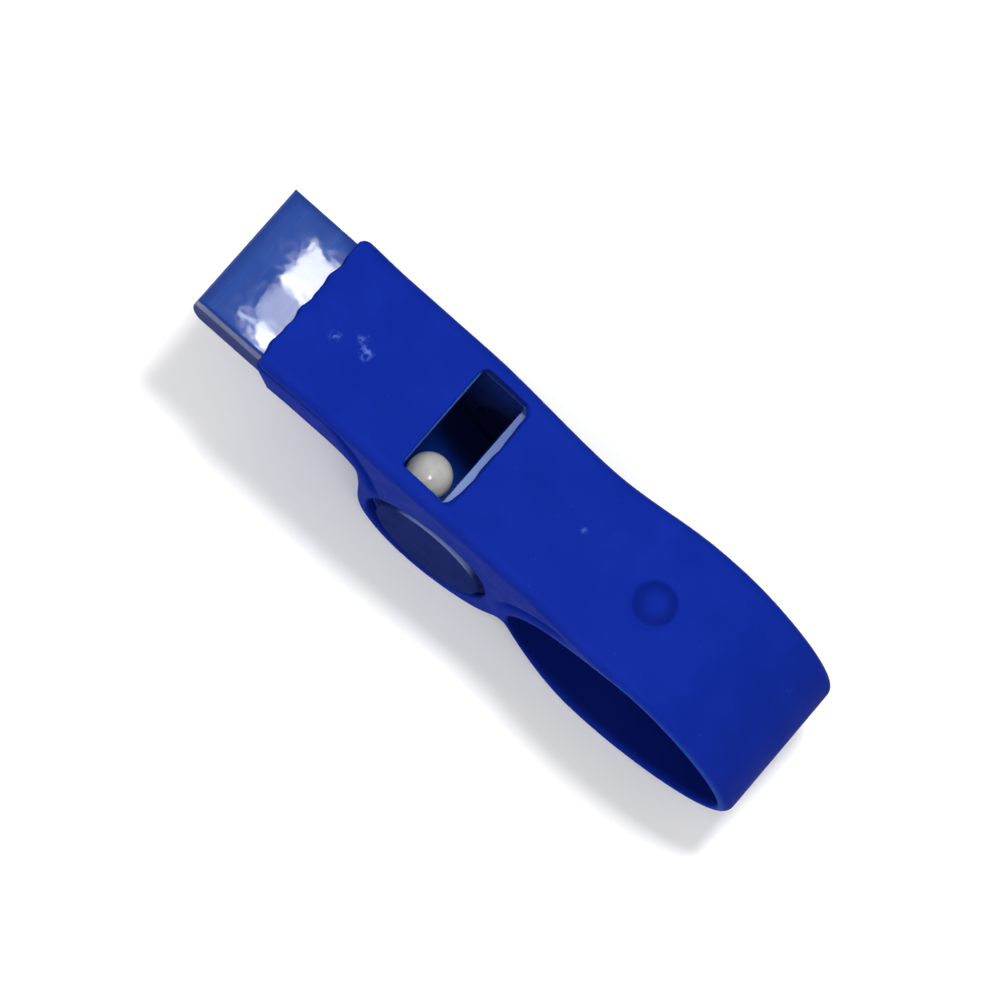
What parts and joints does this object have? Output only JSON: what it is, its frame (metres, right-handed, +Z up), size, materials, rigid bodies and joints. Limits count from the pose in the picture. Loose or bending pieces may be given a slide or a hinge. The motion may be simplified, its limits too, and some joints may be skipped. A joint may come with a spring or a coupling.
{
  "type": "training whistle",
  "caption": "Pea whistle with a flat mouthpiece and round barrel, held in a soft sleeve whose tail forms an oval finger loop.",
  "frame": {"origin": "under the middle of the whole object's box, on the surface it stands on", "axes": "+X from the mouthpiece to the tail of the finger loop, +Y across the whistle to its far side, +Z up through the sound window"},
  "size_m": [0.0874, 0.0206, 0.0269],
  "materials": {
    "hard_shell": "polished injection-moulded plastic",
    "ball": "ivory, faint sheen",
    "soft_sleeve": "matte silicone"
  },
  "bodies": {
    "whistle": {"whistle_body": "hard_shell", "windway_roof": "hard_shell", "near_side_cap": "hard_shell", "far_side_cap": "hard_shell", "finger_sleeve": "soft_sleeve"},
    "ball": {"pea": "ball"}
  },
  "joints": [
    {"name": "pea_roll", "type": "hinge", "parent": "whistle", "child": "ball", "pos_m": [-0.0038, 0, 0.0112], "axis": [0, 1, 0], "continuous": true}
  ]
}
